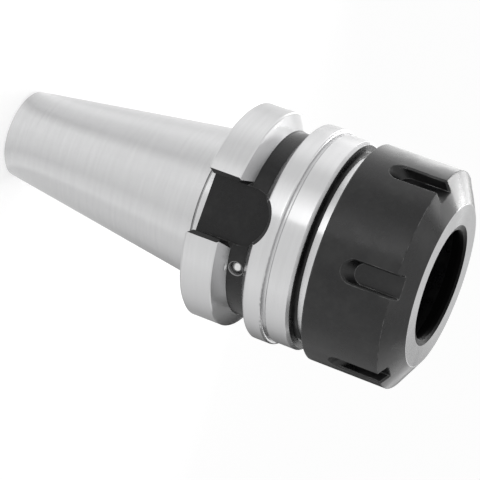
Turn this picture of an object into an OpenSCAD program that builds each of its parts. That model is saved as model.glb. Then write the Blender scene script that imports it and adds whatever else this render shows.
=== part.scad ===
// Collet chuck holder with a steep machine taper, a grooved flange and a slotted clamping nut.
// Millimetres. +Z runs along the axis from the taper's small end to the nut's face.
// The origin is the centre of the small end. The drive slots face -Y and +Y.

/* [Taper] */
// Diameter of the taper at its gauge line
gauge_d = 44.45; // [40:0.01:48]
// Length from the small end to the gauge line
taper_len = 65.4; // [58:0.1:74]
// Chamfer round the small end
tail_chamfer = 0.6; // [0.2:0.1:1.5]
// Depth of the relief groove that parts the taper from the flange's neck
relief_depth = 0.35; // [0.1:0.05:0.8]
// Width of the relief groove, half of it on each side of the gauge line
relief_w = 0.6; // [0.4:0.1:1.6]

/* [Retention knob socket] */
// Diameter of the thread for the retention knob
stud_thread_d = 16; // [12:1:18]
// Length of that thread
stud_thread_len = 30; // [20:1:34]
// Diameter of the register bore ahead of the thread
register_d = 17; // [16.5:0.1:19]
// Depth of the register bore from the small end
register_depth = 8.5; // [5:0.5:12]
// Diameter of the mouth's countersink
countersink_d = 19; // [18:0.5:21]
// Diameter of the tapping drill that runs past the thread
core_d = 13.8; // [10:0.1:14]
// Length of the tapping drill's hole past the thread
core_over = 4; // [2:1:8]
// Diameter of the coolant bore between the socket and the collet bore
coolant_bore_d = 11; // [8:0.5:13]

/* [Flange] */
// Diameter of the flange
flange_d = 63; // [62:0.5:68]
// Distance from the gauge line to the flange's rear face
flange_gap = 2; // [1:0.5:4]
// Distance from the gauge line to the flange's front face
flange_reach = 27; // [24:0.5:32]
// Chamfer on the flange's rear edge
flange_rear_chamfer = 0.7; // [0.3:0.1:1.2]
// Radius on the flange's front edge
flange_front_round = 0.7; // [0.3:0.1:1.2]
// Distance from the gauge line to the middle of the gripper groove
groove_reach = 16.6; // [15:0.1:18]
// Width of the gripper groove at the flange's surface
groove_w = 10; // [9:0.1:11]
// Depth of the gripper groove
groove_depth = 4.6; // [3.5:0.1:5]
// Angle between the groove's flanks
groove_angle = 60; // [50:1:70]
// Edge break between the groove's flanks and the flange's surface
groove_break = 0.25; // [0.1:0.05:0.5]
// Radius of the fillets between the groove's flanks and its floor
groove_fillet = 0.4; // [0.1:0.05:0.8]

/* [Drive slots] */
// Width of each drive slot
drive_slot_w = 16.1; // [14:0.1:18]
// Distance from the axis to the slot's floor
drive_slot_floor = 22.6; // [22.3:0.1:24]
// Distance from the gauge line to the far point of the slot's round end, below its chamfer
drive_slot_reach = 23.15; // [21:0.05:24]
// Chamfer along the slot's edges on the flange's surface
drive_slot_chamfer = 1.15; // [0.6:0.05:1.6]
// Chamfer along the slot's edges where the groove's rear flank starts
drive_slot_flank_chamfer = 0.55; // [0.2:0.05:1]
// Angle between the chamfer on the groove's rear flank and that flank
drive_slot_dip = 11; // [5:1:15]
// Flare of the slot's mouth in the flange's rear face, to each side
drive_slot_flare = 1.7; // [0.5:0.1:2.5]

/* [Nose] */
// Diameter of the collar ahead of the flange
collar_d = 61; // [58:0.5:62]
// Length of the collar
collar_len = 7.6; // [5:0.1:14]
// Chamfer on the collar's front edge
collar_chamfer = 0.8; // [0.3:0.1:1.2]
// Width of the turned recess between the flange and the collar
collar_recess_w = 0.7; // [0.4:0.05:1.2]
// Depth of that recess below the collar's surface
collar_recess_depth = 0.35; // [0.2:0.05:0.8]
// Edge break on the collar's rear edge
collar_rear_break = 0.2; // [0.1:0.05:0.4]
// Diameter of the neck behind the nut
neck_d = 53.8; // [52:0.1:55]
// Length of the neck from the collar's front face to the nut's stop
neck_len = 4.05; // [3:0.05:10]
// Radius of the fillet between the collar and the neck
neck_fillet = 1.2; // [0.5:0.1:1.6]
// Nominal diameter of the nose thread
nose_thread_d = 50; // [49:0.5:51]
// Pitch of the nose thread
nose_pitch = 1.5; // [1:0.5:2]
// Length of the nose ahead of the neck
nose_len = 13.95; // [12:0.05:16]
// Depth of the thread's runout groove beside the neck
runout_depth = 1.1; // [0.5:0.1:1.5]
// Width of the runout groove
runout_w = 2; // [1:0.1:3]

/* [Collet bore] */
// Diameter of the collet taper at the nose's face
seat_mouth_d = 40; // [39:0.1:41]
// Angle between the collet taper's wall and the axis
seat_angle = 8; // [7.5:0.5:8.5]
// Length of the collet taper
seat_len = 32; // [28:0.5:36]
// Diameter of the shank bore behind the taper
shank_bore_d = 30; // [26:0.5:31]
// Depth of the shank bore from the nose's face
shank_bore_depth = 48; // [44:0.5:50]
// Angle between the drill point's wall and the axis
drill_point = 59; // [55:1:62]

/* [Flange coolant feed] */
// Turn of the feed about the axis, counted from the drive slot
feed_turn = 32; // [28:1:40]
// Diameter of the cross drilling in the gripper groove
cross_d = 4; // [3:0.1:4.4]
// Depth of the sealing ball's top below the groove's floor
ball_depth = 0.3; // [0.2:0.05:2]
// Chamfer at the mouth of the cross drilling
cross_chamfer = 0.2; // [0.1:0.05:0.4]
// Squeeze of the sealing ball in its drilling, on the diameter
ball_squeeze = 0.02; // [0.01:0.01:0.04]
// Distance from the flange's side in to the feed's mouth in the rear face
feed_inset = 4.5; // [3.8:0.1:5.5]
// Distance from the axis to the point where the feed meets the cross drilling
feed_meet = 20; // [19:0.1:21]
// Diameter of the feed past its screw
feed_d = 3.5; // [2.5:0.1:4]
// Diameter of the feed's sealing screw
seal_screw_d = 5; // [4:0.5:5]
// Length of the sealing screw
seal_screw_len = 5; // [4:0.5:6]
// Chamfer at both ends of the sealing screw
seal_screw_bevel = 0.4; // [0.2:0.1:0.6]
// Depth of the sealing screw's face below the flange's rear face
seal_screw_depth = 1.4; // [1.2:0.1:2]
// Size across the flats of the screw's hexagon socket
seal_socket = 2.5; // [2:0.1:2.6]
// Radial clearance of the sealing screw in its hole
seal_clearance = 0.05; // [0.02:0.01:0.1]

/* [Clamping nut] */
// Diameter of the nut
nut_d = 63; // [60:0.5:66]
// Height of the nut
nut_h = 27.1; // [26:0.1:32]
// Height of the conical face between the nut's side and its front ring
nut_cone_h = 4.5; // [3:0.1:5.5]
// Outer diameter of the nut's front ring
nut_ring_d = 47; // [44:0.5:50]
// Edge break on the nut's rear edge
nut_rear_break = 0.3; // [0.1:0.1:0.8]
// Diameter of the nut's mouth
mouth_d = 32; // [30:0.5:34]
// Radial width of the mouth's shallow chamfer
mouth_chamfer_w = 1.45; // [0.5:0.05:2]
// Depth of the mouth's shallow chamfer
mouth_chamfer_h = 0.5; // [0.2:0.1:1]
// Length of the mouth's straight land
mouth_land = 1.1; // [0.6:0.1:2]
// Angle between the nut's collet cone and the axis
nut_cone_angle = 30; // [28:1:32]
// Diameter of the pocket for the collet's head
head_pocket_d = 40.8; // [39.6:0.1:41.6]
// Diameter of the off-centre lip that pulls the collet out
lip_d = 38.6; // [38:0.1:39]
// Distance of the lip's centre from the axis
lip_offset = 1; // [0.5:0.1:1.2]
// Thickness of the lip
lip_t = 1.6; // [1:0.1:2.2]
// Gap between the nut's rear face and the neck with the nut screwed home
home_gap = 0.3; // [0.2:0.05:1]
// Gap between the nose's face and the nut's lip with the nut screwed home
nose_gap = 0.9; // [0.5:0.1:2]
// Gap between the threads at their pitch diameters, on the radius
thread_clearance = 0.06; // [0.02:0.01:0.1]
// Depth of the nut's thread relief behind the lip
nut_relief_depth = 0.8; // [0.3:0.1:1]
// Width of the nut's thread relief
nut_relief_w = 1.8; // [1:0.1:3]

/* [Spanner slots] */
// Number of spanner slots round the nut
spanner_slots = 6; // [4:1:6]
// Width of each spanner slot
spanner_slot_w = 6; // [5:0.1:7]
// Depth of each spanner slot
spanner_slot_depth = 3.2; // [2.6:0.1:3.4]
// Length of the slots along the nut's side, from the rear of the round end to the cone
spanner_slot_len = 14.45; // [11:0.05:17]
// Length of the ramp from the round end down to the slot's floor
spanner_ramp = 2.5; // [1:0.1:4]
// Chamfer along the edges of each slot
spanner_chamfer = 0.5; // [0.2:0.1:0.8]
// Turn of the nut, counted from the drive slot to the nearest spanner slot
nut_turn = 7; // [0:1:60]

/* [Hidden] */
$fn = 180;

// The taper's diameter grows by 7 in a length of 24
taper_rate = 7 / 24;
gauge_r = gauge_d / 2;
tail_r = gauge_r - taper_len * taper_rate / 2;
flange_r = flange_d / 2;
nut_r = nut_d / 2;
neck_r = neck_d / 2;
collar_r = collar_d / 2;

// Heights along the axis, each from the one before it
gauge_z = taper_len;
flange_rear_z = gauge_z + flange_gap;
groove_z = gauge_z + groove_reach;
flange_front_z = gauge_z + flange_reach;
collar_front_z = flange_front_z + collar_len;
neck_front_z = collar_front_z + neck_len;
nose_z = neck_front_z + nose_len;
nut_rear_z = neck_front_z + home_gap;
nut_front_z = nut_rear_z + nut_h;
nut_edge_z = nut_front_z - nut_cone_h;

// Plain cylinders at the pitch diameter stand for the two mating threads.
// A 60 degree thread's pitch diameter is 3/8 of its profile's height under the nominal one, on each side.
profile_h = nose_pitch * cos(30);
pitch_r = nose_thread_d / 2 - profile_h * 3 / 8;
nose_r = pitch_r - thread_clearance / 2;
nut_thread_r = pitch_r + thread_clearance / 2;

groove_floor_r = flange_r - groove_depth;
flank_run = groove_depth * tan(groove_angle / 2);
groove_rear_z = groove_z - groove_w / 2;
groove_front_z = groove_z + groove_w / 2;
// Distance from the foot of each flank to its fillet's tangent points
fillet_run = groove_fillet * tan((90 - groove_angle / 2) / 2);
// Each fillet in the groove is drawn in this many steps
fillet_steps = 4;
feed_mouth_r = flange_r - feed_inset;

seat_rear_z = nose_z - seat_len;
seat_rear_r = seat_mouth_d / 2 - seat_len * tan(seat_angle);
shank_bore_r = min(shank_bore_d / 2, seat_rear_r);
shank_floor_z = nose_z - shank_bore_depth;

lip_z = nose_z + nose_gap;
mouth_r = mouth_d / 2;
head_r = head_pocket_d / 2;
mouth_land_z = nut_front_z - mouth_chamfer_h - mouth_land;
head_z = mouth_land_z - (head_r - mouth_r) / tan(nut_cone_angle);

// Turns of the front side, which faces -Y, and of the back side
front = -90;
back = 90;

// Cuts run past the faces that they open through by this much
over = 1;
// Thickness of the plates that a hulled cut is spanned between
sliver = 0.01;

// The points of a list in the opposite order
function reversed(points) = [for (i = [len(points) - 1 : -1 : 0]) points[i]];

// Places a shape at the coolant feed of one side, with local +X pointing outwards
module at_feed(side) {
  rotate([0, 0, side + feed_turn])
    children();
}

// Places a shape at each drive slot, with local +X pointing outwards
module at_drive_slots() {
  for (side = [front, back])
    rotate([0, 0, side])
      children();
}

// Places a shape at each spanner slot, with local +X pointing outwards
module at_spanner_slots() {
  for (i = [0 : spanner_slots - 1])
    rotate([0, 0, front + nut_turn + i * 360 / spanner_slots])
      children();
}

// Points of the fillet at the foot of one flank, from the floor outwards; z_sign is -1 for the rear flank
function groove_fillet_points(corner_z, z_sign) =
  [for (i = [0 : fillet_steps])
    let (turn = (90 - groove_angle / 2) * i / fillet_steps)
      [groove_floor_r + groove_fillet * (1 - cos(turn)),
       corner_z + z_sign * (groove_fillet * sin(turn) - fillet_run)]];

// Half section of the holder from the small end to the groove's floor
function holder_rear_points() = concat([
    [0, 0],
    [tail_r - tail_chamfer, 0],
    [tail_r + tail_chamfer * taper_rate / 2, tail_chamfer],
    [gauge_r - relief_w / 2 * taper_rate / 2, gauge_z - relief_w / 2],
    [gauge_r - relief_depth, gauge_z - relief_w / 4],
    [gauge_r - relief_depth, gauge_z + relief_w / 2],
    [gauge_r, gauge_z + relief_w / 2],
    [gauge_r, flange_rear_z],
    [flange_r - flange_rear_chamfer, flange_rear_z],
    [flange_r, flange_rear_z + flange_rear_chamfer],
    [flange_r, groove_rear_z - groove_break],
    [flange_r - groove_break, groove_rear_z + groove_break * tan(groove_angle / 2)]
  ],
  reversed(groove_fillet_points(groove_rear_z + flank_run, -1)));

// Half section of the holder from the groove's floor to the nose's face
function holder_front_points() = concat(
  groove_fillet_points(groove_front_z - flank_run, 1), [
    [flange_r - groove_break, groove_front_z - groove_break * tan(groove_angle / 2)],
    [flange_r, groove_front_z + groove_break],
    [flange_r, flange_front_z - flange_front_round],
    [flange_r - flange_front_round, flange_front_z - flange_front_round],
    [flange_r - flange_front_round, flange_front_z],
    [collar_r - collar_recess_depth, flange_front_z],
    [collar_r - collar_recess_depth, flange_front_z + collar_recess_w],
    [collar_r - collar_rear_break, flange_front_z + collar_recess_w],
    [collar_r, flange_front_z + collar_recess_w + collar_rear_break],
    [collar_r, collar_front_z - collar_chamfer],
    [collar_r - collar_chamfer, collar_front_z],
    [neck_r + neck_fillet, collar_front_z],
    [neck_r + neck_fillet, collar_front_z + neck_fillet],
    [neck_r, collar_front_z + neck_fillet],
    [neck_r, neck_front_z],
    [nose_r - runout_depth, neck_front_z],
    [nose_r - runout_depth, neck_front_z + runout_w - runout_depth],
    [nose_r, neck_front_z + runout_w],
    [nose_r, nose_z - nose_pitch],
    [nose_r - nose_pitch, nose_z],
    [0, nose_z]
  ]);

// Outer form of the holder, turned about the axis
module holder_profile() {
  difference() {
    union() {
      polygon(concat(holder_rear_points(), holder_front_points()));
      translate([flange_r - flange_front_round, flange_front_z - flange_front_round])
        circle(r = flange_front_round, $fn = 64);
    }
    translate([neck_r + neck_fillet, collar_front_z + neck_fillet])
      circle(r = neck_fillet, $fn = 64);
  }
}

// Space inside the holder, from the retention knob's socket to the collet taper
module holder_hollow() {
  stud_end = register_depth + stud_thread_len;
  sink = (countersink_d - register_d) / 2;
  polygon([
    [0, -over],
    [countersink_d / 2 + over, -over],
    [register_d / 2, sink],
    [register_d / 2, register_depth],
    [stud_thread_d / 2, register_depth],
    [stud_thread_d / 2, stud_end],
    [core_d / 2, stud_end],
    [core_d / 2, stud_end + core_over],
    [coolant_bore_d / 2, stud_end + core_over + (core_d - coolant_bore_d) / 2 / tan(drill_point)],
    [coolant_bore_d / 2, shank_floor_z - (shank_bore_r - coolant_bore_d / 2) / tan(drill_point)],
    [shank_bore_r, shank_floor_z],
    [shank_bore_r, seat_rear_z],
    [seat_rear_r, seat_rear_z],
    [seat_mouth_d / 2 + over * tan(seat_angle), nose_z + over],
    [0, nose_z + over]
  ]);
}

// A trapezoid that breaks both edges of a slot, drawn across the slot
module edge_break(edge_x, slot_w, size) {
  polygon([
    [edge_x - size, -slot_w / 2],
    [edge_x - size, slot_w / 2],
    [edge_x + over, slot_w / 2 + size + over],
    [edge_x + over, -slot_w / 2 - size - over]
  ]);
}

// Rim of the drive slot's round end, a thin plate that lies on a cylinder about the holder's axis
module drive_slot_rim(end_z, rim_r, shell_r) {
  intersection() {
    translate([0, 0, end_z])
      rotate([0, 90, 0])
        cylinder(r = rim_r, h = shell_r + over, $fn = 72);
    translate([0, 0, groove_z])
      difference() {
        cylinder(r = shell_r, h = groove_w);
        translate([0, 0, -over])
          cylinder(r = shell_r - sliver, h = groove_w + 2 * over);
      }
  }
}

// Slot for a spindle's drive key: flat floor, flared mouth, round end and chamfered edges
module drive_slot_cut() {
  half_w = drive_slot_w / 2;
  end_z = gauge_z + drive_slot_reach - half_w;
  reach = flange_r + over - drive_slot_floor;
  // Where the outer edges of the chamfers meet the flange's surface
  edge_x = sqrt(flange_r * flange_r - (half_w + drive_slot_chamfer) * (half_w + drive_slot_chamfer));
  flank_y = half_w + drive_slot_flank_chamfer;
  flank_x = sqrt(flange_r * flange_r - flank_y * flank_y);
  // The chamfers on the flank run down to the level of the groove's floor
  flank_turn = groove_angle / 2 - drive_slot_dip;
  flank_end_x = sqrt(groove_floor_r * groove_floor_r - (half_w + over) * (half_w + over));
  translate([drive_slot_floor, -half_w, flange_rear_z - over])
    cube([reach, drive_slot_w, end_z - flange_rear_z + over]);
  translate([drive_slot_floor, 0, end_z])
    rotate([0, 90, 0])
      cylinder(r = half_w, h = reach);
  translate([drive_slot_floor, 0, flange_rear_z])
    rotate([0, 90, 0])
      linear_extrude(reach)
        edge_break(0, drive_slot_w, drive_slot_flare);
  translate([0, 0, flange_rear_z - over])
    linear_extrude(groove_rear_z - flange_rear_z + over + drive_slot_chamfer)
      edge_break(edge_x, drive_slot_w, drive_slot_chamfer);
  intersection() {
    translate([flank_x, 0, groove_rear_z])
      rotate([0, flank_turn - 90, 0])
        translate([0, 0, -over])
          linear_extrude(groove_depth / cos(flank_turn) + 3 * over)
            edge_break(0, drive_slot_w, drive_slot_flank_chamfer);
    translate([flank_end_x, -drive_slot_w, groove_rear_z - 2 * over])
      cube([reach, 2 * drive_slot_w, groove_w]);
  }
  hull() {
    drive_slot_rim(end_z, half_w - sliver, flange_r - drive_slot_chamfer - sliver);
    drive_slot_rim(end_z, half_w + drive_slot_chamfer + over, flange_r + over);
  }
}

// Slanted coolant feed from the flange's rear face to the cross drilling, with its axis on local Z
module feed_axis() {
  translate([feed_mouth_r, 0, flange_rear_z])
    rotate([0, -atan2(feed_mouth_r - feed_meet, groove_z - flange_rear_z), 0])
      children();
}

// Drillings of one coolant feed
module feed_cut() {
  feed_len = norm([feed_mouth_r - feed_meet, groove_z - flange_rear_z]);
  translate([0, 0, groove_z])
    rotate([0, 90, 0])
      cylinder(d = cross_d, h = groove_floor_r + over);
  translate([groove_floor_r - cross_chamfer, 0, groove_z])
    rotate([0, 90, 0])
      cylinder(d1 = cross_d, d2 = cross_d + 2 * (cross_chamfer + over), h = cross_chamfer + over);
  feed_axis() {
    translate([0, 0, -2 * over])
      cylinder(d = seal_screw_d, h = seal_screw_depth + seal_screw_len + 2 * over);
    cylinder(d = feed_d, h = feed_len);
  }
}

// Holder in one piece: taper, flange, collar, neck and threaded nose
module holder_body() {
  color([0.8, 0.8, 0.8])
    difference() {
      rotate_extrude()
        holder_profile();
      rotate_extrude()
        holder_hollow();
      at_drive_slots()
        drive_slot_cut();
      for (side = [front, back])
        at_feed(side)
          feed_cut();
    }
}

// Pressed ball that closes the outer end of one cross drilling
module cross_hole_ball(side) {
  ball_r = (cross_d + ball_squeeze) / 2;
  color([0.75, 0.75, 0.75])
    at_feed(side)
      translate([groove_floor_r - ball_depth - ball_r, 0, groove_z])
        sphere(r = ball_r, $fn = 48);
}

module cross_hole_ball_front() {
  cross_hole_ball(front);
}

module cross_hole_ball_back() {
  cross_hole_ball(back);
}

// Headless sealing screw in the mouth of one feed, chamfered at both ends, with a hexagon socket
module seal_screw(side) {
  screw_r = seal_screw_d / 2 - seal_clearance;
  color([0.18, 0.18, 0.19])
    at_feed(side)
      feed_axis()
        translate([0, 0, seal_screw_depth])
          difference() {
            rotate_extrude($fn = 64)
              polygon([
                [0, 0],
                [screw_r - seal_screw_bevel, 0],
                [screw_r, seal_screw_bevel],
                [screw_r, seal_screw_len - seal_screw_bevel],
                [screw_r - seal_screw_bevel, seal_screw_len],
                [0, seal_screw_len]
              ]);
            translate([0, 0, -over])
              cylinder(d = seal_socket / cos(30), h = seal_screw_len / 2 + over, $fn = 6);
          }
}

module seal_screw_front() {
  seal_screw(front);
}

module seal_screw_back() {
  seal_screw(back);
}

// Half section of the nut, turned about the axis
module nut_profile() {
  polygon([
    [nut_thread_r, nut_rear_z + nose_pitch],
    [nut_thread_r + nose_pitch, nut_rear_z],
    [nut_r - nut_rear_break, nut_rear_z],
    [nut_r, nut_rear_z + nut_rear_break],
    [nut_r, nut_edge_z],
    [nut_ring_d / 2, nut_front_z],
    [mouth_r + mouth_chamfer_w, nut_front_z],
    [mouth_r, nut_front_z - mouth_chamfer_h],
    [mouth_r, mouth_land_z],
    [head_r, head_z],
    [head_r, lip_z + lip_t],
    [lip_d / 2 - lip_offset, lip_z + lip_t],
    [lip_d / 2 - lip_offset, lip_z],
    [nut_thread_r + nut_relief_depth, lip_z],
    [nut_thread_r + nut_relief_depth, lip_z - nut_relief_w],
    [nut_thread_r, lip_z - nut_relief_w - nut_relief_depth]
  ]);
}

// Slot for a hook or pin spanner: round rear end, ramp, flat floor, open through the nut's cone
module spanner_slot_cut() {
  half_w = spanner_slot_w / 2;
  floor_x = nut_r - spanner_slot_depth;
  edge_x = sqrt(nut_r * nut_r - half_w * half_w);
  top_x = edge_x - spanner_chamfer;
  end_z = nut_edge_z - spanner_slot_len + half_w;
  cone_turn = atan2(nut_r - nut_ring_d / 2, nut_cone_h);
  // The flare on the cone ends where its bottom meets the slot's floor
  flare_len = (edge_x - floor_x - spanner_chamfer * cos(cone_turn)) / sin(cone_turn);
  hull() {
    translate([top_x, 0, end_z])
      rotate([0, 90, 0])
        cylinder(r = half_w, h = sliver, $fn = 32);
    translate([floor_x, 0, end_z + spanner_ramp])
      rotate([0, 90, 0])
        cylinder(r = half_w, h = sliver, $fn = 32);
  }
  translate([0, half_w, 0])
    rotate([90, 0, 0])
      linear_extrude(spanner_slot_w)
        polygon([
          [top_x + over, end_z],
          [top_x, end_z],
          [floor_x, end_z + spanner_ramp],
          [floor_x, nut_front_z + over],
          [nut_r + over, nut_front_z + over],
          [nut_r + over, end_z]
        ]);
  translate([top_x, 0, end_z])
    rotate([0, 90, 0])
      cylinder(r1 = half_w, r2 = half_w + 2 * spanner_chamfer, h = 2 * spanner_chamfer);
  translate([0, 0, end_z])
    linear_extrude(nut_edge_z - end_z + spanner_chamfer)
      edge_break(edge_x, spanner_slot_w, spanner_chamfer);
  translate([edge_x, 0, nut_edge_z])
    rotate([0, -cone_turn, 0])
      linear_extrude(flare_len)
        edge_break(0, spanner_slot_w, spanner_chamfer);
}

// Clamping nut in one piece
module clamping_nut() {
  color([0.2, 0.2, 0.21])
    difference() {
      rotate_extrude()
        nut_profile();
      translate([lip_offset, 0, lip_z - over])
        cylinder(d = lip_d, h = lip_t + over + (head_z - lip_z - lip_t) / 2);
      at_spanner_slots()
        spanner_slot_cut();
    }
}

holder_body();
cross_hole_ball_front();
cross_hole_ball_back();
seal_screw_front();
seal_screw_back();
clamping_nut();
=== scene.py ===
"""Looks of a collet chuck holder: camera, plain light studio, and the finish of every steel surface."""

import math

import bpy
from mathutils import Matrix, Vector


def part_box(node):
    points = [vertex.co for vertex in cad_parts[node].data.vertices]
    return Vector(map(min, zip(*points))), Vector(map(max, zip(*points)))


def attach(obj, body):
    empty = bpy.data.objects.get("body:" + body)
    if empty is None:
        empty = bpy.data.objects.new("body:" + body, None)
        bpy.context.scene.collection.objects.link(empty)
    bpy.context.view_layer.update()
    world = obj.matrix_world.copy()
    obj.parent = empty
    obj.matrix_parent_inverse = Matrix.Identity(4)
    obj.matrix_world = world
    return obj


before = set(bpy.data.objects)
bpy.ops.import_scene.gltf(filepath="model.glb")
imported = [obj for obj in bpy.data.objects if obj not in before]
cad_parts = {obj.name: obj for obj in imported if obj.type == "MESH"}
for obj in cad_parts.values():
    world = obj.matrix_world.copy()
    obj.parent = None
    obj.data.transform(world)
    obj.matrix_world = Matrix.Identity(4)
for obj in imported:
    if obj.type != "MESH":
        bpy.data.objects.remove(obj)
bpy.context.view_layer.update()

MM = 0.001

# Heights above the small end, and distances from the axis, that bound the finishes
GAUGE_Z = 65.4 * MM
GAUGE_R = 22.225 * MM
TAPER_SLOPE = 7 / 48
TAIL_R = GAUGE_R - GAUGE_Z * TAPER_SLOPE
RELIEF_HALF_W = 0.3 * MM
FLANGE_R = 31.5 * MM
FLANGE_REAR_Z = GAUGE_Z + 2.0 * MM
FLANGE_REAR_CHAMFER = 0.7 * MM
GROOVE_Z = GAUGE_Z + 16.6 * MM
GROOVE_HALF_W = 5.0 * MM
GROOVE_FLOOR_R = 26.9 * MM
FLANK_SLOPE = math.tan(math.radians(60))
# The groove's edges are broken as deep as they are wide on the flange
GROOVE_BREAK = 0.25 * MM
BREAK_SLOPE = FLANK_SLOPE / (1 + FLANK_SLOPE)
# Upper ends of the fillets at the groove's bottom, from the axis and from the groove's middle
GROOVE_FILLET_R = 27.1 * MM
GROOVE_FILLET_HALF_W = 2.46 * MM
# A block that holds both drive slots
DRIVE_SLOT_HALF_W = 10.6 * MM
DRIVE_SLOT_FLOOR = 22.6 * MM
DRIVE_SLOT_FRONT_Z = 90.6 * MM
CROSS_HOLE_AZIMUTH = math.radians(-58)
CROSS_HOLE_RIM_R = 2.25 * MM
COLLAR_FRONT_Z = 100.0 * MM
NECK_FILLET_Z = COLLAR_FRONT_Z + 1.2 * MM
# A bore is what lies this near the axis, this far under the taper's surface and past this height
BORES_R = 20.2 * MM
TAPER_WALL = 2.0 * MM
BORES_REAR_Z = 1.2 * MM
NUT_FRONT_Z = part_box("clamping_nut")[1].z
NUT_RING_R = 23.5 * MM
MOUTH_CHAMFER_R = 17.45 * MM


# Objects

def place(azimuth, distance, z):
    """The point at this azimuth in degrees, this distance from the axis and this height."""
    turn = math.radians(azimuth)
    return Vector((distance * math.cos(turn), distance * math.sin(turn), z))


def add(name, data):
    """Puts a new object with this data into the scene."""
    made = bpy.data.objects.new(name, data)
    bpy.context.scene.collection.objects.link(made)
    return made


def add_grid(name, rows):
    """Adds a mesh that is spanned between rows of points."""
    wide = len(rows[0])
    faces = [(i * wide + j, i * wide + j + 1, (i + 1) * wide + j + 1, (i + 1) * wide + j)
             for i in range(len(rows) - 1) for j in range(wide - 1)]
    mesh = bpy.data.meshes.new(name)
    mesh.from_pydata([point for row in rows for point in row], [], faces)
    return add(name, mesh)


# Camera, at the photograph's viewing angle, with its angles in radians

CAMERA_AZIMUTH = math.radians(-91.5)
CAMERA_ELEVATION = 0.32174
CAMERA_ROLL = 1.92348
CAMERA_DISTANCE = 604.743 * MM
CAMERA_TARGET = Vector((0, 0, 75 * MM))
CAMERA_CLIP = (0.01, 20)
FOCAL_PIXELS = 2162.98
CENTRE_PIXEL = (256.24, 217.52)
PICTURE_PIXELS = 480
SENSOR_MM = 36.0


def make_camera():
    """Makes the camera, whose roll lays the upright object down in the picture."""
    data = bpy.data.cameras.new("camera")
    camera = add("camera", data)
    flat = math.cos(CAMERA_ELEVATION)
    back = Vector((flat * math.cos(CAMERA_AZIMUTH),
                   flat * math.sin(CAMERA_AZIMUTH),
                   math.sin(CAMERA_ELEVATION)))
    level = Vector((-math.sin(CAMERA_AZIMUTH), math.cos(CAMERA_AZIMUTH), 0))
    above = back.cross(level)
    right = math.cos(CAMERA_ROLL) * level + math.sin(CAMERA_ROLL) * above
    up = -math.sin(CAMERA_ROLL) * level + math.cos(CAMERA_ROLL) * above
    turn = Matrix((right, up, back)).transposed()
    camera.matrix_world = Matrix.Translation(CAMERA_TARGET + back * CAMERA_DISTANCE) @ turn.to_4x4()
    data.sensor_width = SENSOR_MM
    data.lens = FOCAL_PIXELS / PICTURE_PIXELS * SENSOR_MM
    data.shift_x = (PICTURE_PIXELS / 2 - CENTRE_PIXEL[0]) / PICTURE_PIXELS
    data.shift_y = (CENTRE_PIXEL[1] - PICTURE_PIXELS / 2) / PICTURE_PIXELS
    data.clip_start, data.clip_end = CAMERA_CLIP
    bpy.context.scene.camera = camera


# Node graphs

class Graph:
    """A node tree, with short calls for the nodes that the finishes and the studio share."""

    def __init__(self, tree):
        self.tree = tree

    def node(self, kind, **settings):
        made = self.tree.nodes.new("ShaderNode" + kind)
        for key, value in settings.items():
            setattr(made, key, value)
        return made

    def put(self, socket, value):
        """Links an output to the socket, or sets the socket to a number or colour."""
        if isinstance(value, bpy.types.NodeSocket):
            self.tree.links.new(value, socket)
        elif isinstance(value, tuple):
            socket.default_value = (*value, 1)
        else:
            socket.default_value = value

    def fill(self, node, *values):
        """Puts the values into the node's first sockets, and gives its first output."""
        for socket, value in zip(node.inputs, values):
            self.put(socket, value)
        return node.outputs[0]

    def math(self, operation, *values):
        return self.fill(self.node("Math", operation=operation), *values)

    def vector(self, x, y, z):
        return self.fill(self.node("CombineXYZ"), x, y, z)

    def step(self, value, low, high):
        """0 where value is under low, 1 where it is over high, smooth between. Low may be the larger."""
        return self.fill(self.node("MapRange", interpolation_type="SMOOTHSTEP"), value, low, high)

    def band(self, value, low, high, soft):
        """1 where value lies between low and high, and 0 outside."""
        return self.both(self.step(value, low - soft, low), self.step(value, high + soft, high))

    def both(self, *masks):
        made = masks[0]
        for mask in masks[1:]:
            made = self.math("MULTIPLY", made, mask)
        return made

    def either(self, *masks):
        made = masks[0]
        for mask in masks[1:]:
            made = self.math("MAXIMUM", made, mask)
        return made

    def span(self, a, b):
        """Length of the straight line over two sides at a right angle."""
        return self.math("SQRT", self.math("ADD", self.math("POWER", a, 2.0), self.math("POWER", b, 2.0)))

    def blend(self, mask, a, b):
        """Number a where the mask is 0 and b where it is 1."""
        made = self.node("Mix", data_type="FLOAT")
        self.put(made.inputs[0], mask)
        self.put(made.inputs[2], a)
        self.put(made.inputs[3], b)
        return made.outputs[0]

    def tint(self, mask, a, b):
        """Colour a where the mask is 0 and b where it is 1."""
        made = self.node("Mix", data_type="RGBA")
        self.put(made.inputs[0], mask)
        self.put(made.inputs[6], a)
        self.put(made.inputs[7], b)
        return made.outputs[2]

    def pick(self, mask, a, b):
        """Shader a where the mask is 0 and b where it is 1."""
        return self.fill(self.node("MixShader"), mask, a, b)

    def named(self, kind, **values):
        """A node with its sockets put by name, of which this is the first output."""
        made = self.node(kind)
        for name, value in values.items():
            self.put(made.inputs[name], value)
        return made.outputs[0]

    def noise(self, where, scale, detail, roughness):
        return self.named("TexNoise", Vector=where, Scale=scale, Detail=detail, Roughness=roughness)

    def bump(self, height, distance, strength, normal):
        return self.named("Bump", Height=height, Distance=distance, Strength=strength, Normal=normal)


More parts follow.
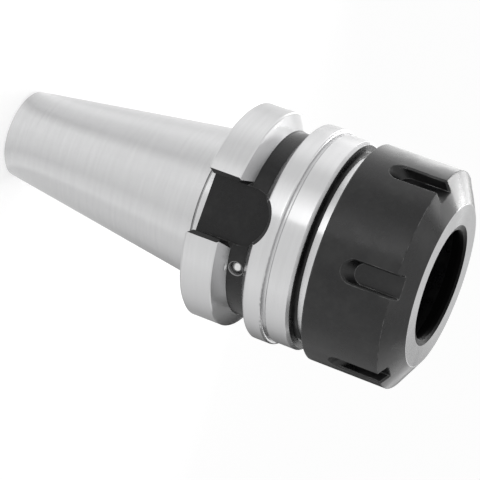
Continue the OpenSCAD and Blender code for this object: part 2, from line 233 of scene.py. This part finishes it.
class Finish(Graph):
    """A steel material, with the coordinates by which its masks and grain are looked up."""

    def __init__(self, name):
        self.material = bpy.data.materials.new(name)
        self.material.use_nodes = True
        super().__init__(self.material.node_tree)
        self.shader = self.tree.nodes["Principled BSDF"]
        self.spot = self.node("TexCoord").outputs["Object"]
        parts = self.node("SeparateXYZ")
        self.put(parts.inputs[0], self.spot)
        self.x, self.y, self.z = parts.outputs
        self.r = self.span(self.x, self.y)

    def set(self, name, value):
        self.put(self.shader.inputs[name], value)

    def turned(self, radius):
        """Coordinates that follow a turned profile, on a circle of this radius round the axis."""
        along = self.math("MULTIPLY_ADD", self.r, PROFILE_SHARE, self.z)
        safe_r = self.math("MAXIMUM", self.r, MM)
        return self.vector(self.math("MULTIPLY", self.math("DIVIDE", self.x, safe_r), radius),
                           self.math("MULTIPLY", self.math("DIVIDE", self.y, safe_r), radius),
                           along)


# Finishes

# The part of a turned profile's radius that its grain counts beside its height
PROFILE_SHARE = 0.73
# Radii at which the clouds and the lines of a turned surface are looked up, whatever its own radius
CLOUD_RADIUS = 60.0 * MM
LINE_RADIUS = 1.5 * MM

# Noises, as scale, detail and roughness
CLOUDS = (45.0, 3.0, 0.5)
PATCHES = (110.0, 4.0, 0.6)
SPECKS = (900.0, 2.0, 0.5)
FINE_LINES = (5200.0, 2.0, 0.6)
COARSE_LINES = (900.0, 3.0, 0.55)
WEAR_AND_HIGHLIGHT_PLACES = (350.0, 2.0, 0.5)
BALL_TONES = (900.0, 2.0, 0.5)
BALL_GLOSS = (1500.0, 2.0, 0.5)
SCREW_TONES = (1500.0, 2.0, 0.5)
SCREW_GLOSS = (2500.0, 2.0, 0.5)

# Values of a noise from which it begins to count and at which it counts in full
TONE_RANGE = (0.3, 0.7)
GLOSS_RANGE = (0.35, 0.65)
SPECK_RANGE = (0.45, 0.75)
DUST_RANGE = (0.46, 0.7)
WEAR_AND_HIGHLIGHT_RANGE = (0.35, 0.62)

# Colours, the shares by which noises darken or lighten them, and roughnesses
STEEL = (0.6, 0.6, 0.605)
STEEL_DARKER = 0.97
STEEL_LIGHTER = 1.03
# Worn steel edges, lighter partly from wear and partly as a painted edge highlight
STEEL_WEAR_AND_HIGHLIGHT = (0.66, 0.66, 0.66)
OXIDE = (0.006, 0.006, 0.0065)
OXIDE_LIGHTER = 1.8
OXIDE_DUSTY = (0.02, 0.02, 0.02)
# Rubbed oxide edges, lighter partly from wear and partly as a painted edge highlight
OXIDE_WEAR_AND_HIGHLIGHT = (0.35, 0.35, 0.35)
OXIDE_ROUGHNESS = (0.24, 0.34)
# Near-black dull metal as painted shade in the deepest bores and the nut's mouth, and its roughness
PIT_SHADE = (0.006, 0.006, 0.006)
PIT_SHADE_ROUGHNESS = 0.6
BALL_STEEL = ((0.62, 0.62, 0.62), (0.72, 0.72, 0.72))
BALL_ROUGHNESS = (0.1, 0.2)
SCREW_LIGHTER = 2
SCREW_ROUGHNESS = (0.3, 0.45)

# Depth and strength of the lines that turning and grinding leave
FINE_BUMP = (0.004 * MM, 0.25)
COARSE_BUMP = (0.01 * MM, 0.12)
# Highlights spread along the axis, across those lines
ANISOTROPY = 0.9
ANISOTROPY_TURN = 0.25

# Cosine between the rounded and the own normal where an edge begins to count, and where it counts fully
EDGE_FLAT = 0.985
EDGE_SHARP = 0.86
EDGE_SAMPLES = 6

# Widths over which one finish passes into the next, outside and along the bores
SOFT = 0.03 * MM
BORE_SOFT = 0.1 * MM
# Shares of the black that show in the rim of the cross drilling and in the relief at the gauge line
RIM_BLACK = 0.55
RELIEF_BLACK = 0.4


def shade(colour, share):
    return tuple(part * share for part in colour)


def edge_mask(g, radius):
    """1 on sharp edges, and the normal that is rounded over them."""
    rounded = g.node("Bevel", samples=EDGE_SAMPLES)
    rounded.inputs["Radius"].default_value = radius
    cosine = g.node("VectorMath", operation="DOT_PRODUCT")
    g.fill(cosine, rounded.outputs[0], g.node("NewGeometry").outputs["Normal"])
    return g.step(cosine.outputs["Value"], EDGE_FLAT, EDGE_SHARP), rounded.outputs[0]


def steel_colour(g, cloud, lines, worn_and_highlit):
    """Ground steel, a little lighter and darker along its grain, and brighter on worn edges, partly as a
    painted edge highlight.
    """
    tone = g.math("ADD", g.math("MULTIPLY", cloud, 0.5), g.math("MULTIPLY", lines, 0.5))
    steel = g.tint(g.step(tone, *TONE_RANGE), shade(STEEL, STEEL_DARKER), shade(STEEL, STEEL_LIGHTER))
    return g.tint(worn_and_highlit, steel, STEEL_WEAR_AND_HIGHLIGHT)


def oxide_colour(g, patches, rubbed_and_highlit):
    """Black oxide with fine specks and dusty patches, rubbed through on its edges, whose lighter colour is
    partly a painted edge highlight.
    """
    oxide = g.tint(g.step(g.noise(g.spot, *SPECKS), *SPECK_RANGE), OXIDE, shade(OXIDE, OXIDE_LIGHTER))
    oxide = g.tint(g.step(patches, *DUST_RANGE), oxide, OXIDE_DUSTY)
    return g.tint(rubbed_and_highlit, oxide, OXIDE_WEAR_AND_HIGHLIGHT)


def steel_and_oxide(name, oxide_mask, pit_shade_mask, steel_roughness, edge_radius, wear_and_highlight, ior):
    """Ground steel where the oxide mask is 0, black oxide where it is 1, and near-black painted shade in
    the pits.

    Both masks are functions of the graph. Wear is the share of the oxide that is gone from worn edges; the
    lighter edges are also a painted highlight.
    """
    g = Finish(name)
    black = oxide_mask(g)
    pit_shade = pit_shade_mask(g)
    edge, rounded = edge_mask(g, edge_radius)
    cloud = g.noise(g.turned(CLOUD_RADIUS), *CLOUDS)
    patches = g.noise(g.spot, *PATCHES)
    fine = g.noise(g.turned(LINE_RADIUS), *FINE_LINES)
    coarse = g.noise(g.turned(LINE_RADIUS), *COARSE_LINES)
    # Worn edges, whose lightening is partly a painted edge highlight
    worn_and_highlit = g.both(edge, g.step(g.noise(g.spot, *WEAR_AND_HIGHLIGHT_PLACES), *WEAR_AND_HIGHLIGHT_RANGE))
    rubbed_and_highlit = g.math("MULTIPLY", worn_and_highlit, wear_and_highlight)
    # In the pits the oxide colour gives way to near-black painted shade
    oxide_and_pit_shade = g.tint(pit_shade, oxide_colour(g, patches, rubbed_and_highlit), PIT_SHADE)
    g.set("Base Color", g.tint(black, steel_colour(g, cloud, coarse, worn_and_highlit), oxide_and_pit_shade))
    g.set("Metallic", g.blend(black, 1.0, g.either(rubbed_and_highlit, pit_shade)))
    steel_rough = g.blend(g.step(cloud, *GLOSS_RANGE), *steel_roughness)
    oxide_rough = g.blend(g.step(patches, *GLOSS_RANGE), *OXIDE_ROUGHNESS)
    g.set("Roughness", g.blend(black, steel_rough, g.blend(pit_shade, oxide_rough, PIT_SHADE_ROUGHNESS)))
    g.set("Normal", g.bump(coarse, *COARSE_BUMP, g.bump(fine, *FINE_BUMP, rounded)))
    g.set("IOR", ior)
    g.set("Anisotropic", ANISOTROPY)
    g.set("Anisotropic Rotation", ANISOTROPY_TURN)
    g.set("Tangent", g.node("Tangent", direction_type="RADIAL", axis="Z").outputs[0])
    return g.material


def flange_profile(g):
    """The flange's turned radius at each height, as if it had no slots."""
    def side(sign):
        off = g.math("MULTIPLY_ADD", g.math("SUBTRACT", g.z, GROOVE_Z), sign, -GROOVE_HALF_W)
        flank = g.math("MULTIPLY_ADD", off, FLANK_SLOPE, FLANGE_R)
        broken = g.math("MULTIPLY_ADD", g.math("SUBTRACT", off, GROOVE_BREAK), BREAK_SLOPE, FLANGE_R)
        return g.math("MINIMUM", flank, broken)

    rear_edge = g.math("ADD", g.math("SUBTRACT", g.z, FLANGE_REAR_Z), FLANGE_R - FLANGE_REAR_CHAMFER)
    outer = g.either(side(-1.0), side(1.0), GROOVE_FLOOR_R)
    return g.math("MINIMUM", g.math("MINIMUM", outer, rear_edge), FLANGE_R)


def groove_bottom(g):
    """The gripper groove's floor with its fillets, and more faintly the rims of the cross drilling."""
    aside = g.math("SUBTRACT", g.math("MULTIPLY", g.y, math.cos(CROSS_HOLE_AZIMUTH)),
                   g.math("MULTIPLY", g.x, math.sin(CROSS_HOLE_AZIMUTH)))
    from_hole = g.span(aside, g.math("SUBTRACT", g.z, GROOVE_Z))
    return g.both(g.band(g.r, BORES_R + MM, GROOVE_FILLET_R + SOFT, SOFT),
                  g.band(g.z, GROOVE_Z - GROOVE_FILLET_HALF_W, GROOVE_Z + GROOVE_FILLET_HALF_W, SOFT),
                  g.blend(g.step(from_hole, CROSS_HOLE_RIM_R - SOFT, CROSS_HOLE_RIM_R), RIM_BLACK, 1.0))


def drive_slots(g):
    """What was milled out of the flange's turned form, down to the floors of the drive slots."""
    under = g.math("SUBTRACT", flange_profile(g), g.r)
    return g.both(g.step(under, SOFT / 2, SOFT * 1.5),
                  g.math("LESS_THAN", g.math("ABSOLUTE", g.x), DRIVE_SLOT_HALF_W),
                  g.step(g.math("ABSOLUTE", g.y), DRIVE_SLOT_FLOOR - 2 * SOFT, DRIVE_SLOT_FLOOR - SOFT),
                  g.band(g.z, FLANGE_REAR_Z + SOFT, DRIVE_SLOT_FRONT_Z, SOFT))


def relief(g):
    """The narrow relief at the gauge line, which is only partly black."""
    return g.both(g.band(g.z, GAUGE_Z - RELIEF_HALF_W, GAUGE_Z + RELIEF_HALF_W + SOFT, SOFT),
                  g.step(g.r, GAUGE_R + SOFT, GAUGE_R),
                  RELIEF_BLACK)


def bores(g):
    """The knob's socket, the coolant bore and the collet seat."""
    skin = g.math("MINIMUM", g.math("MULTIPLY_ADD", g.z, TAPER_SLOPE, TAIL_R - TAPER_WALL), BORES_R)
    return g.both(g.math("LESS_THAN", g.r, skin), g.step(g.z, BORES_REAR_Z, BORES_REAR_Z + BORE_SOFT))


def holder_oxide(g):
    """What was blackened on the holder and not ground afterwards."""
    neck_recess = g.band(g.z, COLLAR_FRONT_Z - SOFT / 2, NECK_FILLET_Z, SOFT)
    return g.either(groove_bottom(g), drive_slots(g), relief(g), neck_recess, bores(g))


def nut_oxide(g):
    """All of the nut but its ground front ring."""
    ring = g.both(g.step(g.z, NUT_FRONT_Z - 2 * SOFT, NUT_FRONT_Z - SOFT),
                  g.step(g.r, NUT_RING_R + SOFT, NUT_RING_R),
                  g.step(g.r, MOUTH_CHAMFER_R - SOFT, MOUTH_CHAMFER_R))
    return g.math("SUBTRACT", 1.0, ring)


def holder_pit_shade(g):
    """The part of the bores past the collar, where hardly any light gets in, painted near black as shade.
    """
    return g.both(g.math("LESS_THAN", g.r, BORES_R),
                  g.step(g.z, COLLAR_FRONT_Z, COLLAR_FRONT_Z + BORE_SOFT))


def nut_pit_shade(g):
    """The nut's mouth and what lies behind it, painted near black as shade."""
    return g.step(g.r, MOUTH_CHAMFER_R + 2 * SOFT, MOUTH_CHAMFER_R)


def ball_material():
    g = Finish("ball_steel")
    g.set("Base Color", g.tint(g.noise(g.spot, *BALL_TONES), *BALL_STEEL))
    g.set("Metallic", 1.0)
    g.set("Roughness", g.blend(g.noise(g.spot, *BALL_GLOSS), *BALL_ROUGHNESS))
    return g.material


def screw_material():
    g = Finish("screw_steel")
    g.set("Base Color", g.tint(g.noise(g.spot, *SCREW_TONES), OXIDE, shade(OXIDE, SCREW_LIGHTER)))
    g.set("Roughness", g.blend(g.noise(g.spot, *SCREW_GLOSS), *SCREW_ROUGHNESS))
    return g.material


def finish(node, material):
    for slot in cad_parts[node].material_slots:
        slot.material = material


def finish_all():
    # The pit masks mark where near-black painted shade fills the hollows
    finish("holder_body", steel_and_oxide("ground_steel", holder_oxide, holder_pit_shade,
                                          steel_roughness=(0.2, 0.26), edge_radius=0.25 * MM,
                                          wear_and_highlight=0.5, ior=1.38))
    finish("clamping_nut", steel_and_oxide("black_steel", nut_oxide, nut_pit_shade,
                                           steel_roughness=(0.14, 0.18), edge_radius=0.4 * MM,
                                           wear_and_highlight=0.6, ior=1.44))
    ball, screw = ball_material(), screw_material()
    for side in ("front", "back"):
        finish("cross_hole_ball_" + side, ball)
        finish("seal_screw_" + side, screw)


# Thread of the knob's socket

THREAD_REAR_Z = 9.3 * MM
THREAD_FRONT_Z = 37.9 * MM
THREAD_WALL_R = 8.0 * MM
THREAD_CREST_R = 7.0 * MM
THREAD_PITCH = 2.0 * MM
# Points round each turn, and how many of them the ridge takes to rise and to fade out
THREAD_STEPS = 48
THREAD_RUN_OUT = THREAD_STEPS / 4
# The ridge's section, as shares of the pitch along the wall and of the height above it
THREAD_SECTION = ((-0.44, 0.0), (-0.125, 1.0), (0.125, 1.0), (0.44, 0.0))


def make_thread():
    """A right-hand ridge wound up the socket's wall, which fades out over a quarter turn at each end."""
    run = THREAD_FRONT_Z - THREAD_REAR_Z
    count = round(run / THREAD_PITCH * THREAD_STEPS)
    rows = []
    for i in range(count + 1):
        rise = min(1.0, i / THREAD_RUN_OUT, (count - i) / THREAD_RUN_OUT)
        rows.append([place(360 * i / THREAD_STEPS,
                           THREAD_WALL_R - height * rise * (THREAD_WALL_R - THREAD_CREST_R),
                           THREAD_REAR_Z + run * i / count + off * THREAD_PITCH)
                     for off, height in THREAD_SECTION])
    ridge = add_grid("pull_stud_thread_ridge", rows)
    ridge.data.materials.append(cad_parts["holder_body"].material_slots[0].material)
    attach(ridge, "holder")


# Studio

# Radii of the floor's rings of points, and points round the floor and the tent
FLOOR_RINGS = (0.0, 0.02, 0.045, 0.08, 0.12, 0.16, 0.2, 0.3, 0.6, 6.0)
COLUMNS = 180
TURNS = [360 * j / COLUMNS for j in range(COLUMNS + 1)]
# The floor lies a hair under the object's foot, so that the two never share a plane
FLOOR_Z = -0.02 * MM
FLOOR_COLOUR = (0.8, 0.8, 0.8)
# Light that the floor sends to the camera besides, so that it just reaches white outside the shadow
FLOOR_GLOW = 0.42
# Light of the surroundings as the camera and the metal see it, and as it falls on matt surfaces
WHITE_LEVEL = 1.0
PLAIN_LEVEL = 0.7

# What the metal mirrors all round, as (azimuth in degrees, level) over one whole turn
FLOOR_NEAR = ((-180, 1.14), (-168, 1.02), (-152, 0.92), (-140, 0.8), (-130, 0.96), (-122, 1.1),
              (-100, 1.1), (-80, 1.0), (-58, 0.86), (-46, 0.97), (-30, 1.05), (-20, 0.89),
              (0, 0.87), (20, 0.82), (40, 0.78), (65, 0.85), (90, 0.85), (115, 0.95),
              (140, 1.0), (155, 1.04), (168, 1.18), (180, 1.14))
FLOOR_FAR = ((-180, 1.14), (-168, 1.02), (-152, 0.92), (-140, 0.84), (-130, 0.96), (-122, 1.08),
             (-100, 1.06), (-80, 1.0), (-58, 0.9), (-46, 0.97), (-30, 1.06), (-20, 0.92),
             (0, 0.87), (19, 0.72), (43, 0.5), (68, 0.42), (90, 0.7), (115, 1.05),
             (140, 1.1), (155, 1.08), (168, 1.15), (180, 1.14))
TENT_LOW = ((-180, 1.27), (-169, 1.16), (-154, 0.88), (-138, 0.88), (-123, 1.06), (-112, 1.14),
            (-102, 1.0), (-98, 0.92), (-77, 0.99), (-47, 1.04), (-31, 1.08), (-16, 1.0),
            (0, 0.9), (15, 0.8), (31, 0.58), (46, 0.36), (62, 0.22), (75, 0.26),
            (95, 0.8), (113, 0.92), (144, 0.9), (160, 1.12), (176, 1.25), (180, 1.27))
TENT_HIGH = ((-180, 1.45), (-169, 1.4), (-154, 0.98), (-138, 1.05), (-123, 1.9), (-112, 2.8),
             (-102, 3.2), (-98, 1.3), (-88, 1.0), (-62, 0.92), (-47, 1.0), (-31, 1.1),
             (-16, 1.0), (0, 0.95), (15, 0.75), (31, 0.62), (46, 0.46), (62, 0.08),
             (82, 0.06), (95, 1.2), (113, 2.2), (129, 2.9), (144, 2.9), (160, 2.0),
             (176, 1.5), (180, 1.45))
# Distances over which the floor's near levels pass into the far ones, and those into the tent's
NEAR_TO_FAR = (0.03, 0.13)
FAR_TO_TENT = (0.14, 0.2)

TENT_R = 215 * MM
TENT_FOOT_SHARE = 0.7
TENT_TOP_SHARE = 0.5
# Rows of the tent, as height in millimetres, levels, and the share by which they depart from white
TENT_ROWS = ((0, TENT_LOW, TENT_FOOT_SHARE), (24, TENT_LOW, 1), (44, TENT_LOW, 1),
             (54, TENT_HIGH, 1), (88, TENT_HIGH, 1), (110, TENT_LOW, 1), (125, TENT_LOW, TENT_TOP_SHARE))

LAMP_DISTANCE = 220 * MM
LAMP_FOOT_Z = 5 * MM


def level_at(azimuth, knots, share=1):
    """The level at this azimuth, between those on its two sides, with this share of its way from white."""
    azimuth = (azimuth + 180) % 360 - 180
    for (low, a), (high, b) in zip(knots, knots[1:]):
        if low <= azimuth <= high:
            return 1 + share * (a + (b - a) * (azimuth - low) / (high - low) - 1)


def passed(value, low, high):
    """How much of the way from low to high the value has gone."""
    return min(max((value - low) / (high - low), 0.0), 1.0)


def floor_level(azimuth, distance):
    """What the metal mirrors of the floor, which nears the tent's level with the distance."""
    far = passed(distance, *NEAR_TO_FAR)
    out = passed(distance, *FAR_TO_TENT)
    level = (1 - far) * level_at(azimuth, FLOOR_NEAR) + far * level_at(azimuth, FLOOR_FAR)
    return (1 - out) * level + out * level_at(azimuth, TENT_LOW, TENT_FOOT_SHARE)


def make_world():
    """White for the camera and for what metal or glass shows, and plain light on matt surfaces."""
    world = bpy.data.worlds.new("studio")
    bpy.context.scene.world = world
    world.use_nodes = True
    g = Graph(world.node_tree)
    background = g.tree.nodes["Background"]
    background.inputs["Color"].default_value = (1, 1, 1, 1)
    path = g.node("LightPath").outputs
    shown = g.either(path["Is Camera Ray"], path["Is Glossy Ray"], path["Is Transmission Ray"])
    g.put(background.inputs["Strength"], g.blend(shown, PLAIN_LEVEL, WHITE_LEVEL))


def glow_of_points(g):
    """Light of the strength that is kept on the mesh's points."""
    return g.fill(g.node("Emission"), (1, 1, 1), g.node("Attribute", attribute_name="level").outputs["Fac"])


def stage_material(name, surface):
    """A material whose shader is what the function surface makes in its graph."""
    material = bpy.data.materials.new(name)
    material.use_nodes = True
    g = Graph(material.node_tree)
    g.tree.nodes.clear()
    g.put(g.node("OutputMaterial").inputs["Surface"], surface(g))
    return material


def floor_surface(g):
    """A matt floor with the glow for the camera, the points' levels for metal, and nothing from below."""
    path = g.node("LightPath").outputs
    matt = g.fill(g.node("BsdfDiffuse"), FLOOR_COLOUR)
    glow = g.fill(g.node("Emission"), (1, 1, 1), FLOOR_GLOW)
    lit = g.pick(path["Is Camera Ray"], matt, g.fill(g.node("AddShader"), matt, glow))
    mirrored = g.either(path["Is Glossy Ray"], path["Is Transmission Ray"])
    top = g.pick(mirrored, lit, glow_of_points(g))
    return g.pick(g.node("NewGeometry").outputs["Backfacing"], top, g.node("BsdfTransparent").outputs[0])


def make_sheet(name, rows, material):
    """A stage mesh spanned between rows of (point, level), with the levels kept on its points."""
    sheet = add_grid(name, [[point for point, level in row] for row in rows])
    levels = sheet.data.attributes.new("level", "FLOAT", "POINT")
    for item, level in zip(levels.data, [level for row in rows for point, level in row]):
        item.value = level
    sheet.data.materials.append(material)
    return sheet


def make_floor():
    """The floor's rings run inwards, so that its faces look up."""
    rows = [[(place(turn, distance, FLOOR_Z), floor_level(turn, distance)) for turn in TURNS]
            for distance in reversed(FLOOR_RINGS)]
    make_sheet("floor", rows, stage_material("floor_white", floor_surface))


def make_reflector(name, rows):
    """A sheet of light that only reflections see."""
    sheet = make_sheet(name, rows, stage_material(name, glow_of_points))
    sheet.visible_camera = False
    sheet.visible_diffuse = False
    sheet.visible_shadow = False


def make_tent():
    make_reflector("tent", [[(place(turn, TENT_R, z * MM), level_at(turn, knots, share)) for turn in TURNS]
                            for z, knots, share in TENT_ROWS])


def make_card(name, distance, *rows):
    """A reflector at this distance in millimetres, from rows of (azimuth, height in millimetres, level)."""
    make_reflector(name, [[(place(azimuth, distance * MM, z * MM), level) for azimuth, z, level in row]
                          for row in rows])


def make_cards():
    # Dark flags for one side of the groove's rear flank
    make_card("flag", 213, [(76, 85, 0.03), (66, 60, 0.05), (56, 60, 0.1), (46, 60, 0.25), (28, 60, 0.35)],
              [(75, 104, 0.03), (67, 118, 0.05), (57, 190, 0.08), (47, 275, 0.18), (32, 620, 0.3)])
    make_card("flag_top", 214, [(37, 200, 0.22), (-5, 200, 0.4)], [(34, 640, 0.22), (0, 640, 0.4)])
    # Tone of the nut's front ring
    make_card("ring_card", 230, [(78, 150, 0.35), (86, 150, 0.68), (98, 150, 0.7)],
              [(78, 215, 0.35), (86, 215, 0.68), (98, 215, 0.7)])
    # Bright parts of the nut's cone
    make_card("cone_strip", 235, [(102, 140, 1.2), (114, 140, 1.2)], [(108, 190, 9), (124, 190, 9)],
              [(108, 246, 12), (134, 246, 12)], [(111, 268, 12), (138, 268, 12)])
    make_card("cone_high", 236, [(122, 290, 2.8), (136, 290, 2.8)], [(118, 420, 3.3), (134, 420, 3.3)])
    make_card("cone_side", 236, [(80, 130, 1.2), (66, 140, 1.6)], [(80, 230, 1.2), (34, 420, 2.0)])
    # Bright and darker bands on the other side of that flank
    make_card("flank_panel", 240, [(104, 100, 0.8), (140, 100, 0.8)], [(108, 240, 1.3), (143, 240, 1.3)],
              [(112, 400, 3.4), (148, 400, 3.4)])
    make_card("flank_dip", 240, [(134, 425, 0.5), (154, 425, 0.5)], [(134, 560, 0.5), (154, 560, 0.5)])
    make_card("flank_top", 240, [(128, 620, 2.0), (152, 620, 2.0)], [(128, 860, 2.0), (152, 860, 2.0)])


def make_lamp(name, azimuth, spread, top_z, radiance):
    """An upright panel at this azimuth, spread degrees wide, that lights the floor and matt colours."""
    width = 2 * LAMP_DISTANCE * math.tan(math.radians(spread / 2))
    height = top_z - LAMP_FOOT_Z
    data = bpy.data.lights.new(name, "AREA")
    data.shape = "RECTANGLE"
    data.size = width
    data.size_y = height
    data.energy = radiance * math.pi * width * height
    lamp = add(name, data)
    lamp.rotation_mode = "QUATERNION"
    lamp.rotation_quaternion = (-place(azimuth, 1, 0)).to_track_quat("-Z", "Y")
    lamp.location = place(azimuth, LAMP_DISTANCE, (LAMP_FOOT_Z + top_z) / 2)
    lamp.visible_camera = False
    lamp.visible_glossy = False


def make_lamps():
    make_lamp("key", 106.5, 23, 270 * MM, 2.4)
    make_lamp("side", 145, 50, 270 * MM, 0.5)
    make_lamp("streak", -109, 9, 220 * MM, 0.8)


make_camera()
finish_all()
make_thread()
make_world()
make_floor()
make_tent()
make_cards()
make_lamps()
bpy.context.scene.view_settings.view_transform = "Standard"
